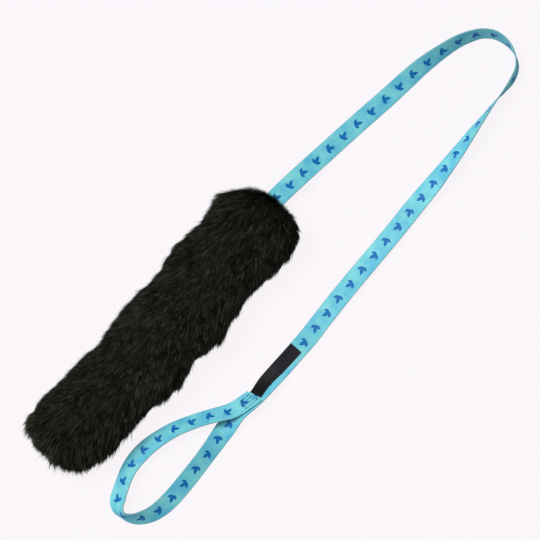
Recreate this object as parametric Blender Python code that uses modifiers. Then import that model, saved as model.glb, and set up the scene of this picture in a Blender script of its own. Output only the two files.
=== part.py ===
# Sheepskin tug toy for a dog: a strip of wool-on hide folded round a webbing core,
# on a long webbing lead that ends in a sewn hand loop with a woven label.
# Metres, +Z up. +X runs along the tug from its tail to the mouth where the strap
# comes out, +Y is the tug's left, and the toy lies on the plane z = 0.
# The origin is on the flat that the tug rests on, halfway along it.

import math

import bmesh
import bpy
from mathutils import Vector

# The strap's routes below are in millimetres, and this is their unit in metres
ROUTE_UNIT = 0.001

# Webbing
WEBBING_WIDTH = 0.020
WEBBING_THICK = 0.0015
WEBBING_EDGE = 0.0004
SEWN_GAP = 0.0003
FLOOR_GAP = 0.0002

# Sheepskin
TUG_LENGTH = 0.346
FLEECE_WIDTH = 0.0902
FLEECE_TOP = 0.0245
HIDE_HEIGHT = 0.019
REST_CUT = 0.0005
NOSE_OVERRUN = 0.004
HIDE_THICK = 0.002
HIDE_MARGIN = 0.0018
SEAM_ALLOWANCE = 0.0140
HIDE_SLOPE = 0.0045
STRAP_SIDE = 0.0075
TAIL_WOOL = 0.012
SKIN_GAP = 0.0003

# Threads
HIDE_THREAD = 0.0007
STRAP_THREAD = 0.0006
HIDE_STITCH = 0.0068
STRAP_STITCH = 0.0026
STITCH_RISE = 0.00015
SEAM_INSET = 0.0045
SEAM_END = 0.005
TACK_ROWS = 3
TACK_PITCH = 0.0055
TACK_SIDE = 0.0028

# Hinges in the strap
FLEX_RADIUS = WEBBING_THICK / 2
FLEX_GAP = 0.00025

# Label and the sewn overlap of the hand loop
LABEL_LENGTH = 0.0635
LABEL_WIDTH = 0.0142
LABEL_THICK = 0.0006
LABEL_EDGE = 0.00015
LABEL_START = 0.0065
LABEL_SIDE = 0.0025
LABEL_TO_CUT = 0.0015
LABEL_HEM = 0.0018
OVERLAP = 0.0165
OVERLAP_SIDE_CUT = 0.0012
OVERLAP_SIDE_FOLD = 0.0028
TACK_LINES = 4
TACK_INSET = 0.0018
TACK_MARGIN = 0.0031

# Places that follow from the sizes above
MOUTH = TUG_LENGTH / 2
FLEX_STEP = FLEX_RADIUS + FLEX_GAP
PIVOT = Vector((MOUTH + FLEX_STEP, STRAP_SIDE, HIDE_HEIGHT))
LAY_HEIGHT = FLOOR_GAP + WEBBING_THICK / 2
LAYER = WEBBING_THICK + SEWN_GAP
CUT_END = LABEL_START + LABEL_LENGTH + LABEL_TO_CUT

# The fleece's rings: share of its length from the tail, its left and right edges as shares
# of the half width, height share
FLEECE_RINGS = (
    (0.000, 0.38, -0.34, 0.42),
    (0.010, 0.62, -0.53, 0.60),
    (0.026, 0.80, -0.67, 0.78),
    (0.050, 0.90, -0.82, 0.90),
    (0.083, 0.94, -0.99, 0.96),
    (0.125, 0.96, -1.06, 1.00),
    (0.170, 0.94, -1.05, 0.99),
    (0.215, 0.91, -1.03, 1.01),
    (0.260, 0.91, -1.01, 1.00),
    (0.305, 0.90, -1.02, 1.02),
    (0.350, 0.91, -1.09, 1.03),
    (0.395, 0.93, -1.13, 1.04),
    (0.440, 0.96, -1.10, 1.02),
    (0.485, 1.00, -1.06, 1.01),
    (0.530, 1.02, -1.05, 1.03),
    (0.575, 1.00, -1.08, 1.02),
    (0.620, 0.95, -1.06, 0.98),
    (0.660, 1.03, -1.00, 1.00),
    (0.700, 1.13, -0.95, 1.04),
    (0.745, 1.08, -0.91, 1.03),
    (0.790, 1.04, -0.90, 1.01),
    (0.835, 1.07, -0.98, 1.04),
    (0.880, 1.17, -0.96, 1.05),
    (0.920, 1.11, -0.95, 1.01),
    (0.950, 0.98, -0.86, 0.93),
    (0.972, 0.78, -0.74, 0.84),
    (1.000, 0.50, -0.54, 0.64),
)
RING_POINTS = 16
RING_POWER = 0.82

# The lead's route from the mouth: x, y in millimetres from the strap's exit, roll in
# degrees, and what share of the exit's height is left. Roll turns the printed face from
# up towards the right of the way the strap runs.
LEAD_ROUTE = (
    (8, 0.0, 0, 0.99),
    (20, -0.6, 0, 0.92),
    (35, -1.6, 1, 0.74),
    (52, -2.9, 3, 0.45),
    (68, -4.2, 5, 0.20),
    (84, -5.5, 7, 0.05),
    (100, -6.8, 8, 0.0),
    (127, -9.3, 9, 0.0),
    (157, -12.2, 12, 0.0),
    (182, -14.2, 19, 0.0),
    (202, -15.9, 29, 0.0),
    (218, -18.5, 38, 0.0),
    (233, -21.7, 46, 0.0),
    (246, -25.2, 51, 0.0),
    (260, -31.3, 57, 0.0),
    (271, -38.6, 63, 0.0),
    (278.5, -49.0, 68, 0.0),
    (281, -62.0, 78, 0.0),
    (278.5, -76.0, 91, 0.0),
    (270, -87.5, 101, 0.0),
    (257, -93.0, 105, 0.0),
    (243, -94.7, 97, 0.0),
    (232, -95.2, 90, 0.0),
    (212, -97.3, 80, 0.0),
    (190, -99.7, 66, 0.0),
    (169, -102.4, 54, 0.0),
    (146, -104.7, 41, 0.0),
    (124, -106.7, 27, 0.0),
    (95, -108.4, 14, 0.0),
    (64, -110.8, 15, 0.0),
    (35, -112.5, 15, 0.0),
    (5, -114.1, 13, 0.0),
    (-25, -116.0, 11, 0.0),
    (-55, -118.6, 7, 0.0),
    (-76, -120.6, 1, 0.0),
)
LOOP_PIVOT_OFFSET = (-86, -121.0)

# The hand loop's route, in the same terms, with a lift in millimetres in place of the share
LOOP_ROUTE = (
    (-94, -121.2, 0, 1.2),
    (-104, -121.5, 1, 0.7),
    (-116, -121.9, 6, 0.4),
    (-130, -122.5, 21, 0.3),
    (-145, -123.1, 30, 0.3),
    (-158, -123.3, 35, 0.5),
    (-170, -121.8, 34, 0.7),
    (-181, -120.7, 31, 0.6),
    (-196, -121.9, 14, 0.3),
    (-209, -123.3, -8, 0.2),
    (-224, -125.4, -21, 0.0),
    (-243, -127.6, -25, 0.0),
    (-267, -129.7, -22, 0.0),
    (-291, -130.8, -23, 0.0),
    (-306, -129.8, -29, 0.0),
    (-318.5, -126.3, -38, 0.0),
    (-326.5, -121.8, -46, 0.0),
    (-332.0, -117.0, -55, 0.0),
    (-335.6, -111.6, -64, 0.0),
    (-337.4, -105.4, -70, 0.0),
    (-336.8, -101.8, -62, 0.0),
    (-335.2, -98.3, -50, 0.0),
    (-332.0, -93.8, -38, 0.0),
    (-324.5, -88.9, -39, 0.0),
    (-315.5, -84.9, -40, 0.0),
    (-301, -79.3, -38, 0.0),
    (-285.5, -76.9, -31, 0.0),
    (-270, -77.3, -31, 0.0),
    (-254, -80.2, -37, 0.0),
    (-238, -84.9, -41, 0.0),
    (-223.5, -91.4, -44, 0.0),
    (-208.7, -99.3, -45, 0.0),
    (-195, -107.8, -43, 0.3),
    (-184, -114.5, -37, 0.4),
)
LEAD_STEP = 0.0065
LOOP_STEP = 0.0032


def clear_scene():
    for obj in list(bpy.data.objects):
        bpy.data.objects.remove(obj, do_unlink=True)
    for block in list(bpy.data.collections):
        bpy.data.collections.remove(block)


def make_collection(name):
    collection = bpy.data.collections.new(name)
    bpy.context.scene.collection.children.link(collection)
    return collection


def make_material(name, colour, roughness):
    material = bpy.data.materials.new(name)
    material.use_nodes = True
    shader = material.node_tree.nodes["Principled BSDF"]
    shader.inputs["Base Color"].default_value = (*colour, 1.0)
    shader.inputs["Roughness"].default_value = roughness
    shader.inputs["Metallic"].default_value = 0.0
    material.diffuse_color = (*colour, 1.0)
    return material


def place_object(obj, collection, material=None, parent=None):
    """Puts an object in its collection, with its material, under its parent."""
    collection.objects.link(obj)
    if material:
        obj.data.materials.append(material)
    if parent:
        obj.parent = parent
        obj.matrix_parent_inverse = parent.matrix_world.inverted()
    return obj


def mark_cutter(obj):
    obj.hide_render = True
    obj.display_type = "WIRE"


def smooth_route(points, step):
    """Stations (position, direction, roll) along one smooth curve through the points."""
    count = len(points)
    spans = [(points[i + 1][0] - points[i][0]).length for i in range(count - 1)]
    values = [(*place, roll) for place, roll in points]
    slopes = []
    for i in range(count):
        before = max(0, i - 1)
        after = min(count - 2, i)
        rates = [
            [(values[k + 1][n] - values[k][n]) / spans[k] for n in range(4)]
            for k in (before, after)
        ]
        weight = spans[before] / (spans[before] + spans[after])
        slopes.append([rates[0][n] * (1 - weight) + rates[1][n] * weight for n in range(4)])
    stations = []
    for i, span in enumerate(spans):
        pieces = max(1, round(span / step))
        last = i == len(spans) - 1
        for j in range(pieces + last):
            u = j / pieces
            a = 2 * u**3 - 3 * u**2 + 1
            b = u**3 - 2 * u**2 + u
            c = 3 * u**2 - 2 * u**3
            d = u**3 - u**2
            now = [
                a * values[i][n] + b * span * slopes[i][n]
                + c * values[i + 1][n] + d * span * slopes[i + 1][n]
                for n in range(4)
            ]
            stations.append((Vector(now[:3]), now[3]))
    frames = []
    for i, (place, roll) in enumerate(stations):
        ahead = stations[min(i + 1, len(stations) - 1)][0]
        behind = stations[max(i - 1, 0)][0]
        frames.append((place, (ahead - behind).normalized(), roll))
    return frames


def strap_axes(direction, roll):
    """The strap's crosswise direction and the normal of its printed face."""
    right = direction.cross(Vector((0, 0, 1))).normalized()
    up = right.cross(direction)
    turn = math.radians(roll)
    normal = up * math.cos(turn) + right * math.sin(turn)
    return direction.cross(normal), normal


def rest_height(roll):
    """How high the strap's middle lies when its lower edge touches the floor."""
    turn = math.radians(roll)
    half_rise = abs(math.sin(turn)) * WEBBING_WIDTH / 2
    return FLOOR_GAP + half_rise + abs(math.cos(turn)) * WEBBING_THICK / 2


def along(frames, distance):
    """The frame at a distance along the stations, between the two that hold it."""
    run = 0.0
    for (a, _, roll_a), (b, direction, roll_b) in zip(frames, frames[1:]):
        span = (b - a).length
        if run + span >= distance:
            share = (distance - run) / span
            return a.lerp(b, share), direction, roll_a + (roll_b - roll_a) * share
        run += span
    return frames[-1]


def on_strap(frames, distance, side, height):
    place, direction, roll = along(frames, distance)
    across, normal = strap_axes(direction, roll)
    return place + across * side + normal * height


def band_section(half_width, half_thick, edge):
    cut = min(edge, half_thick * 0.6)
    corner = [(half_width - cut, half_thick), (half_width, half_thick - cut)]
    right = corner + [(y, -z) for y, z in reversed(corner)]
    return right + [(-y, -z) for y, z in right]


def round_nose(frames, half_thick, at_start):
    """Extra stations that round a strap's end about a point on its own middle plane."""
    place, direction, roll = frames[0] if at_start else frames[-1]
    outward = -direction if at_start else direction
    nose = []
    for angle in (12, 35, 60):
        turn = math.radians(angle)
        tip = place + outward * half_thick * math.cos(turn)
        nose.append((tip, direction, roll, half_thick * math.sin(turn)))
    return nose


def loft_band(name, frames, width, thick, edge, nose_start=False, nose_end=False):
    """A flat band lofted along its stations, as one closed mesh."""
    half = thick / 2
    rows = [(*frame, half) for frame in frames]
    if nose_start:
        rows = round_nose(frames, half, True) + rows
    if nose_end:
        rows += reversed(round_nose(frames, half, False))
    mesh = bmesh.new()
    rings = []
    for place, direction, roll, half_thick in rows:
        across, normal = strap_axes(direction, roll)
        section = band_section(width / 2, half_thick, edge)
        rings.append([mesh.verts.new(place + across * y + normal * z) for y, z in section])
    # Each face is parted from its right corner behind to its left one ahead, above and
    # below alike, so that no twist brings the band's two sides through each other
    sides = [y for y, _ in section]
    for ring, following in zip(rings, rings[1:]):
        for i in range(len(ring)):
            k = (i + 1) % len(ring)
            right, left = (i, k) if sides[i] > sides[k] else (k, i)
            mesh.faces.new((ring[right], ring[left], following[left]))
            mesh.faces.new((ring[right], following[left], following[right]))
    mesh.faces.new(rings[0][::-1])
    mesh.faces.new(rings[-1])
    bmesh.ops.recalc_face_normals(mesh, faces=mesh.faces)
    data = bpy.data.meshes.new(name)
    mesh.to_mesh(data)
    mesh.free()
    data.shade_smooth()
    data.set_sharp_from_angle(angle=math.radians(40))
    return bpy.data.objects.new(name, data)


def thread_curve(name, points, thick):
    """A thread as a tube with filled ends through the points."""
    curve = bpy.data.curves.new(name, "CURVE")
    curve.dimensions = "3D"
    curve.bevel_depth = thick / 2
    curve.bevel_resolution = 1
    curve.use_fill_caps = True
    spline = curve.splines.new("POLY")
    spline.points.add(len(points) - 1)
    for point, place in zip(spline.points, points):
        point.co = (*place, 1.0)
    return bpy.data.objects.new(name, curve)


def stitch_path(corners, stitch):
    """Points along the corners that rise between needle holes: (first, second, rise)."""
    path = []
    for (a0, b0), (a1, b1) in zip(corners, corners[1:]):
        count = max(1, round(math.hypot(a1 - a0, b1 - b0) / stitch))
        for i in range(count):
            for share, rise in ((0.0, 0.0), (0.5, STITCH_RISE)):
                t = (i + share) / count
                path.append((a0 + (a1 - a0) * t, b0 + (b1 - b0) * t, rise))
    path.append((*corners[-1], 0.0))
    return path


def meander(start, pitch, rows, low, high):
    """Corners of rows sewn back and forth, each a pitch on from the last."""
    corners = []
    for row in range(rows):
        ends = (low, high) if row % 2 == 0 else (high, low)
        corners += [(start + row * pitch, end) for end in ends]
    return corners


def hide_half_gap(y):
    """Half the space between the hide's two layers, at a place across it."""
    open_gap = WEBBING_THICK / 2 + SKIN_GAP
    edge = STRAP_SIDE - WEBBING_WIDTH / 2 - HIDE_MARGIN
    share = min(1.0, max(0.0, (edge - y) / HIDE_SLOPE))
    return open_gap + (SKIN_GAP / 2 - open_gap) * share


def hide_sides():
    """The hide's open edge and the middle of its fold, across the tug."""
    fold = STRAP_SIDE + WEBBING_WIDTH / 2 + HIDE_MARGIN
    slope_end = STRAP_SIDE - WEBBING_WIDTH / 2 - HIDE_MARGIN - HIDE_SLOPE
    return slope_end - SEAM_ALLOWANCE, fold


def hide_surface(extra):
    """One side of the folded hide's section, from its open edge to its fold."""
    open_edge, fold = hide_sides()
    slope_start = STRAP_SIDE - WEBBING_WIDTH / 2 - HIDE_MARGIN
    stops = (open_edge, slope_start - HIDE_SLOPE, slope_start, fold)
    points = [(y, hide_half_gap(y) + extra) for y in stops]
    radius = points[-1][1]
    bend = [math.radians(angle) for angle in range(75, -1, -15)]
    return points + [(fold + radius * math.cos(a), radius * math.sin(a)) for a in bend]


def flat_outline(name, points, start, end):
    """A closed outline across the tug, filled and extruded along it."""
    curve = bpy.data.curves.new(name, "CURVE")
    curve.dimensions = "2D"
    curve.fill_mode = "BOTH"
    curve.extrude = (end - start) / 2
    spline = curve.splines.new("POLY")
    spline.points.add(len(points) - 1)
    for point, (y, z) in zip(spline.points, points):
        point.co = (y, z, 0.0, 1.0)
    spline.use_cyclic_u = True
    obj = bpy.data.objects.new(name, curve)
    obj.location = ((start + end) / 2, 0.0, HIDE_HEIGHT)
    obj.rotation_euler = (math.radians(90), 0.0, math.radians(90))
    return obj


def to_mesh(obj):
    """The same shape as a mesh object with its caps welded, in place of a curve."""
    bpy.context.scene.collection.objects.link(obj)
    bpy.context.view_layer.update()
    graph = bpy.context.evaluated_depsgraph_get()
    data = bpy.data.meshes.new_from_object(obj.evaluated_get(graph))
    mesh = bmesh.new()
    mesh.from_mesh(data)
    bmesh.ops.remove_doubles(mesh, verts=mesh.verts, dist=1e-6)
    bmesh.ops.recalc_face_normals(mesh, faces=mesh.faces)
    mesh.to_mesh(data)
    mesh.free()
    made = bpy.data.objects.new(obj.name, data)
    made.matrix_world = obj.matrix_world.copy()
    name = obj.name
    bpy.data.objects.remove(obj, do_unlink=True)
    made.name = name
    return made


def box_cutter(name, low, high, collection):
    mesh = bmesh.new()
    bmesh.ops.create_cube(mesh, size=1.0)
    data = bpy.data.meshes.new(name)
    mesh.to_mesh(data)
    mesh.free()
    size = [b - a for a, b in zip(low, high)]
    for vertex in data.vertices:
        vertex.co = [v * s for v, s in zip(vertex.co, size)]
    obj = bpy.data.objects.new(name, data)
    obj.location = [(a + b) / 2 for a, b in zip(low, high)]
    collection.objects.link(obj)
    mark_cutter(obj)
    return obj


def subtract(obj, cutter):
    modifier = obj.modifiers.new(cutter.name, "BOOLEAN")
    modifier.operation = "DIFFERENCE"
    modifier.solver = "EXACT"
    modifier.object = cutter


def seam_line():
    """The seam along the hide's open side and across its tail: (x, y) corners."""
    open_edge, fold = hide_sides()
    side = open_edge + SEAM_INSET
    tail = hide_tail() + SEAM_END
    return [(MOUTH - SEAM_END, side), (tail, side), (tail, fold - SEAM_END / 2)]


def hide_tail():
    return MOUTH - TUG_LENGTH + TAIL_WOOL


def tack_line():
    """The rows that hold the webbing in the hide's mouth: (x, y) corners."""
    half = WEBBING_WIDTH / 2 - TACK_SIDE
    start = MOUTH - SEAM_END - (TACK_ROWS - 1) * TACK_PITCH
    return meander(start, TACK_PITCH, TACK_ROWS, STRAP_SIDE - half, STRAP_SIDE + half)


def hide_skin_height(y):
    return hide_half_gap(y) + HIDE_THICK


def make_fleece(collection, cutters, material, parent):
    """The wool: a swelling, tapering body with the pocket that the hide fills."""
    mesh = bmesh.new()
    rings = []
    length = TUG_LENGTH + NOSE_OVERRUN
    for share, left, right, high in FLEECE_RINGS:
        x = MOUTH - TUG_LENGTH + share * length
        middle = (left + right) / 2
        half = (left - right) / 2
        ring = []
        for i in range(RING_POINTS):
            turn = 2 * math.pi * (i + 0.5) / RING_POINTS
            across = math.copysign(abs(math.cos(turn)) ** RING_POWER, math.cos(turn))
            rise = math.copysign(abs(math.sin(turn)) ** RING_POWER, math.sin(turn))
            reach = FLEECE_TOP if rise > 0 else HIDE_HEIGHT + REST_CUT
            y = (middle + across * half) * FLEECE_WIDTH / 2
            ring.append(mesh.verts.new((x, y, HIDE_HEIGHT + rise * high * reach)))
        rings.append(ring)
    for ring, following in zip(rings, rings[1:]):
        for i in range(RING_POINTS):
            k = (i + 1) % RING_POINTS
            mesh.faces.new((ring[i], ring[k], following[k], following[i]))
    mesh.faces.new(rings[0][::-1])
    mesh.faces.new(rings[-1])
    bmesh.ops.recalc_face_normals(mesh, faces=mesh.faces)
    data = bpy.data.meshes.new("wool_pile")
    mesh.to_mesh(data)
    mesh.free()
    data.shade_smooth()
    fleece = bpy.data.objects.new("wool_pile", data)
    place_object(fleece, collection, material, parent)
    rounding = fleece.modifiers.new("rounding", "SUBSURF")
    rounding.levels = 1
    rounding.render_levels = 1

    far = TUG_LENGTH
    floor = box_cutter("rest_flat", (-far, -far, -far), (far, far, 0.0), cutters)
    nose = box_cutter("nose_flat", (MOUTH, -far, -far), (far, far, far), cutters)
    subtract(fleece, floor)
    subtract(fleece, nose)

    open_edge, _ = hide_sides()
    shell = hide_surface(HIDE_THICK + SKIN_GAP)
    shell[0] = (open_edge - SKIN_GAP, shell[0][1])
    outline = shell + [(y, -z) for y, z in reversed(shell[:-1])]
    pocket = flat_outline("hide_pocket", outline, hide_tail() - SKIN_GAP, MOUTH + NOSE_OVERRUN)
    pocket = to_mesh(pocket)
    cutters.objects.link(pocket)
    mark_cutter(pocket)
    subtract(fleece, pocket)

    room = HIDE_THREAD / 2 + STITCH_RISE + SKIN_GAP
    for name, corners in (("seam", seam_line()), ("tack", tack_line())):
        runs = zip(corners, corners[1:]) if name == "seam" else [(corners[0], corners[-1])]
        for number, ((x0, y0), (x1, y1)) in enumerate(runs):
            high = max(hide_skin_height(y) for y in (y0, y1)) + SKIN_GAP + HIDE_THREAD / 2
            low = (min(x0, x1) - room, min(y0, y1) - room, HIDE_HEIGHT - high - room)
            top = (max(x0, x1) + room, max(y0, y1) + room, HIDE_HEIGHT + high + room)
            subtract(fleece, box_cutter(f"{name}_channel_{number}", low, top, cutters))
    return fleece


def make_hide(collection, material, parent):
    """The skin, folded lengthways round the webbing with its open edges side by side."""
    outer, inner = [
        side + [(y, -z) for y, z in reversed(side[:-1])]
        for side in (hide_surface(HIDE_THICK), hide_surface(0.0))
    ]
    outline = outer + inner[::-1]
    hide = flat_outline("sheepskin_hide", outline, hide_tail(), MOUTH)
    return place_object(hide, collection, material, parent)


def make_core(collection, material, parent):
    """The webbing inside the hide, caught in the tail seam and tacked at the mouth."""
    tail = hide_tail() + SEAM_END / 2
    ends = [(Vector((x, STRAP_SIDE, HIDE_HEIGHT)), 0.0) for x in (tail, MOUTH)]
    frames = smooth_route(ends, TUG_LENGTH)
    core = loft_band("core_webbing", frames, WEBBING_WIDTH, WEBBING_THICK, WEBBING_EDGE)
    return place_object(core, collection, material, parent)


def make_hide_threads(collection, material, parent):
    """Needle thread above and bobbin thread below, for the long seam and the mouth."""
    for seam, corners in (("edge_seam", seam_line()), ("mouth_tack", tack_line())):
        stitch = HIDE_STITCH if seam == "edge_seam" else STRAP_STITCH
        path = stitch_path(corners, stitch)
        for thread, side in (("needle_thread", 1), ("bobbin_thread", -1)):
            points = []
            for x, y, rise in path:
                off = hide_skin_height(y) + SKIN_GAP + HIDE_THREAD / 2 + rise
                points.append(Vector((x, y, HIDE_HEIGHT + side * off)))
            obj = thread_curve(f"{seam}_{thread}", points, HIDE_THREAD)
            place_object(obj, collection, material, parent)


def offset_point(x, y, height):
    return Vector((MOUTH + x * ROUTE_UNIT, STRAP_SIDE + y * ROUTE_UNIT, height))


def lead_frames():
    """Stations of the lead, from the mouth to the flex point above the label."""
    points = [(PIVOT.copy(), 0.0)]
    for x, y, roll, share in LEAD_ROUTE:
        low = rest_height(roll)
        points.append((offset_point(x, y, low + (HIDE_HEIGHT - low) * share), roll))
    end = loop_pivot() + Vector((FLEX_STEP, 0, 0))
    points.append((end, 0.0))
    frames = smooth_route(points, LEAD_STEP)
    frames[0] = (frames[0][0], Vector((1, 0, 0)), 0.0)
    frames[-1] = (frames[-1][0], Vector((-1, 0, 0)), 0.0)
    return frames


def loop_pivot():
    return offset_point(*LOOP_PIVOT_OFFSET, LAY_HEIGHT)


def loop_frames():
    """Stations of the loop: out under the label, round, and back on top of itself."""
    points = [(loop_pivot(), 0.0)]
    for x, y, roll, lift in LOOP_ROUTE:
        points.append((offset_point(x, y, rest_height(roll) + lift * ROUTE_UNIT), roll))
    standing = smooth_route(points[:12], LOOP_STEP / 3)
    rows = 5
    for i in range(rows):
        to_cut = i / (rows - 1)
        distance = CUT_END + OVERLAP * (1 - to_cut)
        side = OVERLAP_SIDE_FOLD + (OVERLAP_SIDE_CUT - OVERLAP_SIDE_FOLD) * to_cut
        _, _, roll = along(standing, distance)
        points.append((on_strap(standing, distance, side, LAYER), -roll))
    frames = smooth_route(points, LOOP_STEP)
    frames[0] = (frames[0][0], Vector((-1, 0, 0)), 0.0)
    return frames


def make_straps(collection, material, lead_parent, loop_parent):
    lead = lead_frames()
    loop = loop_frames()
    width, thick, edge = WEBBING_WIDTH, WEBBING_THICK, WEBBING_EDGE
    strap = loft_band("lead_webbing", lead, width, thick, edge, nose_start=True)
    place_object(strap, collection, material, lead_parent)
    strap = loft_band("hand_loop_webbing", loop, width, thick, edge, nose_start=True)
    place_object(strap, collection, material, loop_parent)
    return loop


def make_label(frames, collection, material, parent):
    """A woven label on the strap's printed face, its lower end at the loop's cut end."""
    count = 12
    height = WEBBING_THICK / 2 + SEWN_GAP + LABEL_THICK / 2
    stations = []
    for i in range(count + 1):
        distance = LABEL_START + LABEL_LENGTH * i / count
        _, direction, roll = along(frames, distance)
        stations.append((on_strap(frames, distance, LABEL_SIDE, height), direction, roll))
    label = loft_band("woven_label", stations, LABEL_WIDTH, LABEL_THICK, LABEL_EDGE)
    place_object(label, collection, material, parent)


def make_strap_threads(frames, collection, blue, black, parent):
    """Threads of the label's two ends and of the sewn overlap, above and below."""
    half = LABEL_WIDTH / 2 - LABEL_HEM
    label_top = WEBBING_THICK / 2 + SEWN_GAP + LABEL_THICK
    loop_top = WEBBING_THICK / 2 + LAYER
    seams = []
    for name, at in (("upper", LABEL_HEM), ("lower", LABEL_LENGTH - LABEL_HEM)):
        row = [(LABEL_START + at, LABEL_SIDE + side) for side in (-half, half)]
        seams.append((f"label_{name}", row, label_top, black))
    low = OVERLAP_SIDE_FOLD - WEBBING_WIDTH / 2 + TACK_MARGIN
    high = WEBBING_WIDTH / 2 - TACK_MARGIN
    ends = (CUT_END + TACK_INSET, CUT_END + OVERLAP - TACK_INSET)
    lines = meander(low, (high - low) / (TACK_LINES - 1), TACK_LINES, *ends)
    seams.append(("loop_tack", [(run, side) for side, run in lines], loop_top, blue))
    for name, corners, top, material in seams:
        for thread, base in (("needle_thread", top), ("bobbin_thread", -WEBBING_THICK / 2)):
            side = math.copysign(1, base)
            points = []
            for distance, across, rise in stitch_path(corners, STRAP_STITCH):
                off = base + side * (SEWN_GAP + STRAP_THREAD / 2 + rise)
                points.append(on_strap(frames, distance, across, off))
            obj = thread_curve(f"{name}_{thread}", points, STRAP_THREAD)
            place_object(obj, collection, material, parent)


def make_pivot(name, place, collection, parent=None):
    """An empty on a joint's axis, which runs across the strap along Y."""
    empty = bpy.data.objects.new(name, None)
    empty.empty_display_size = 0.02
    empty.location = place
    collection.objects.link(empty)
    bpy.context.view_layer.update()
    if parent:
        empty.parent = parent
        empty.matrix_parent_inverse = parent.matrix_world.inverted()
        bpy.context.view_layer.update()
    return empty


def main():
    clear_scene()
    toy = make_collection("sheepskin_tug_toy")
    cutters = make_collection("cutters")
    wool = make_material("black_wool", (0.008, 0.008, 0.006), 0.85)
    skin = make_material("tanned_skin", (0.45, 0.33, 0.22), 0.7)
    webbing = make_material("printed_webbing", (0.11, 0.55, 0.70), 0.6)
    plain = make_material("plain_webbing", (0.02, 0.02, 0.02), 0.7)
    label = make_material("label_satin", (0.010, 0.010, 0.012), 0.5)
    blue = make_material("turquoise_thread", (0.06, 0.40, 0.52), 0.5)
    black = make_material("black_thread", (0.012, 0.012, 0.012), 0.5)

    tug = make_pivot("tug_base", (0, 0, 0), toy)
    lead = make_pivot("tug_flex_axis", PIVOT, toy, tug)
    loop = make_pivot("loop_flex_axis", loop_pivot(), toy, lead)

    make_fleece(toy, cutters, wool, tug)
    make_hide(toy, skin, tug)
    make_core(toy, plain, tug)
    make_hide_threads(toy, black, tug)
    frames = make_straps(toy, webbing, lead, loop)
    make_label(frames, toy, label, loop)
    make_strap_threads(frames, toy, blue, black, loop)


main()
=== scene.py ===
import math

import bpy
import numpy as np
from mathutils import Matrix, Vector, kdtree, noise


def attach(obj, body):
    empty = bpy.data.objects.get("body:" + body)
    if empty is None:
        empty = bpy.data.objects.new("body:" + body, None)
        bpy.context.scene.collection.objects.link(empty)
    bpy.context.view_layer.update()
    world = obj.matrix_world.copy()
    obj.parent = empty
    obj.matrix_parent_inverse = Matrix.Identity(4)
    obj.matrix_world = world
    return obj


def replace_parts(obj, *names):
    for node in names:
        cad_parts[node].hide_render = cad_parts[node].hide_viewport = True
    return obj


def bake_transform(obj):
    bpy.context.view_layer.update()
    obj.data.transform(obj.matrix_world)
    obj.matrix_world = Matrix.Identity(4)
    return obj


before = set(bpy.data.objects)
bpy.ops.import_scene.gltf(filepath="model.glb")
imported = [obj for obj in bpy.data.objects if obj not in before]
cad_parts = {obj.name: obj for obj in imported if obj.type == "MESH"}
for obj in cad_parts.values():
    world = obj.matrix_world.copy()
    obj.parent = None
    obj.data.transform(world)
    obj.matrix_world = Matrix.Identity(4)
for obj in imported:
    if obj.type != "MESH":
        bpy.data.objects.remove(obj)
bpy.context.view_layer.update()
mm = 0.001


def toLinear(hexColour):
    channels = [int(hexColour[i:i + 2], 16) / 255 for i in (1, 3, 5)]
    return tuple(c / 12.92 if c <= 0.04045 else ((c + 0.055) / 1.055) ** 2.4 for c in channels) + (1.0,)


def addNode(tree, kind, inputs=None, **settings):
    node = tree.nodes.new(kind)
    for name, value in settings.items():
        setattr(node, name, value)
    for socket, value in (inputs or {}).items():
        if isinstance(value, bpy.types.NodeSocket):
            tree.links.new(value, node.inputs[socket])
        else:
            node.inputs[socket].default_value = value
    return node


def newMaterial(name, roughness, **sockets):
    material = bpy.data.materials.new(name)
    material.use_nodes = True
    shader = material.node_tree.nodes["Principled BSDF"]
    shader.inputs["Roughness"].default_value = roughness
    for socket, value in sockets.items():
        shader.inputs[socket.replace("_", " ")].default_value = value
    return material, material.node_tree, shader


def runSteps(tree, values, steps):  # a table of sums: (result, operation, inputs...)
    for result, operation, *terms in steps:
        inputs = {i: values[term] if isinstance(term, str) else term for i, term in enumerate(terms)}
        values[result] = addNode(tree, "ShaderNodeMath", inputs, operation=operation).outputs[0]
    return values


def blendColours(tree, share, first, second):
    node = addNode(tree, "ShaderNodeMix", data_type="RGBA")
    for socket, value in ((0, share), (6, first), (7, second)):
        if isinstance(value, str):
            value = toLinear(value)
        if isinstance(value, bpy.types.NodeSocket):
            tree.links.new(value, node.inputs[socket])
        else:
            node.inputs[socket].default_value = value
    return node.outputs[2]


def unit(v):
    return v / np.maximum(np.linalg.norm(v, axis=-1, keepdims=True), 1e-12)


def hump(distance, at, reach):  # 1 at a place, and falling smoothly to 0 on each side
    return np.exp(-((distance - at) / reach) ** 2)


# ---- camera: straight above, turned so that the tug lies as in the photograph

cameraSettings = {
    "centre": (0.1203, -0.0376),   # what the middle of the picture shows
    "turn": -46.9,                 # degrees about the vertical
    "shown": 0.5508,               # metres across the picture
    "lens": 300.0,                 # long, so that heights don't lean
    "sensor": 36.0,
}


def makeCamera():
    s = cameraSettings
    data = bpy.data.cameras.new("camera")
    data.lens, data.sensor_width = s["lens"], s["sensor"]
    data.clip_end = 50.0
    camera = bpy.data.objects.new("camera", data)
    bpy.context.scene.collection.objects.link(camera)
    camera.location = (*s["centre"], s["shown"] * s["lens"] / s["sensor"])
    camera.rotation_euler = (0.0, 0.0, math.radians(s["turn"]))
    bpy.context.scene.camera = camera
    print("camera made")


# ---- the strap's routes, as in the part's source

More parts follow.
